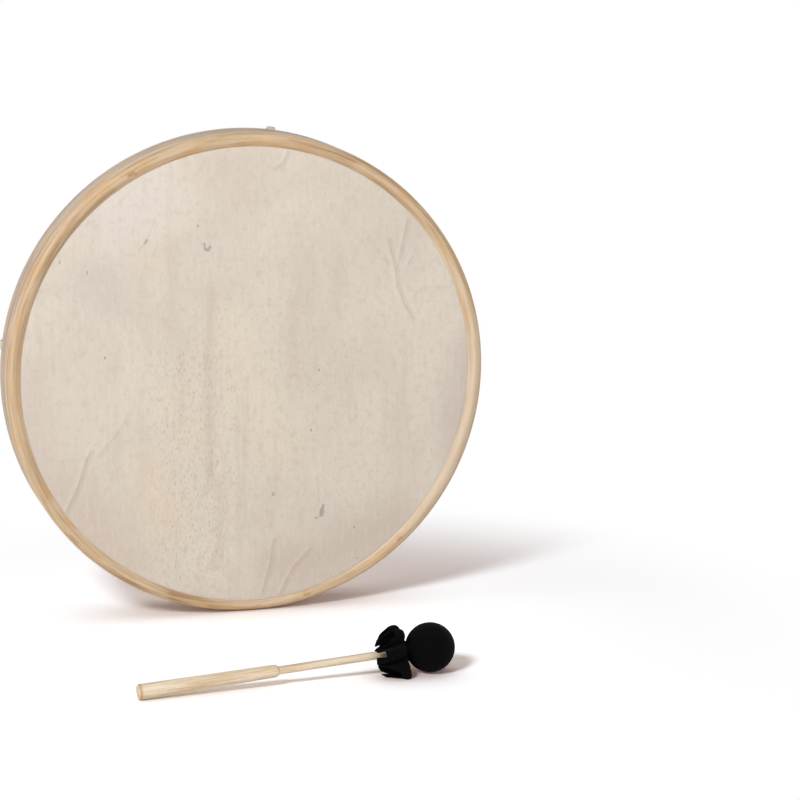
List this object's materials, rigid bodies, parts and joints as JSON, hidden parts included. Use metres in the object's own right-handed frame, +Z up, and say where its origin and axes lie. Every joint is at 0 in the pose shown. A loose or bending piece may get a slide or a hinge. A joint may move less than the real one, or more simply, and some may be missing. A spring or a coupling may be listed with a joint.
{
  "type": "shaman drum",
  "caption": "Round frame drum with a natural skin, a laced and cord-wound hand grip across its open back, and a cloth-headed wooden beater.",
  "frame": {"origin": "middle of the wound hand grip, on the drum's axis, where the two laces cross", "axes": "+Y along the drum's axis from the skin to the open back, +Z up as the drum stands on its rim, +X to the right seen from the skin"},
  "size_m": [0.5018, 0.361, 0.5018],
  "materials": {
    "hoop_wood": "satin",
    "hide": "matte",
    "lace_leather": "matte",
    "cotton_cord": "matte",
    "beater_wood": "satin",
    "black_cloth": "matte",
    "padding_felt": "matte"
  },
  "bodies": {
    "drum": {"shell_hoop": "hoop_wood", "flesh_hoop": "hoop_wood", "drum_skin": "hide", "clamp_ring": "hoop_wood", "lace_upright": "lace_leather", "lace_level": "lace_leather", "grip_core": "cotton_cord", "grip_winding": "cotton_cord", "arm_winding_top": "cotton_cord", "arm_winding_right": "cotton_cord", "arm_winding_bottom": "cotton_cord", "arm_winding_left": "cotton_cord"},
    "beater": {"beater_stick": "beater_wood", "beater_padding": "padding_felt", "beater_cover": "black_cloth", "beater_tie": "black_cloth"}
  },
  "joints": [
    {"name": "beater_lift", "type": "slide", "parent": "drum", "child": "beater", "axis": [0, 0, 1], "range_m": [0, 0.15]}
  ]
}
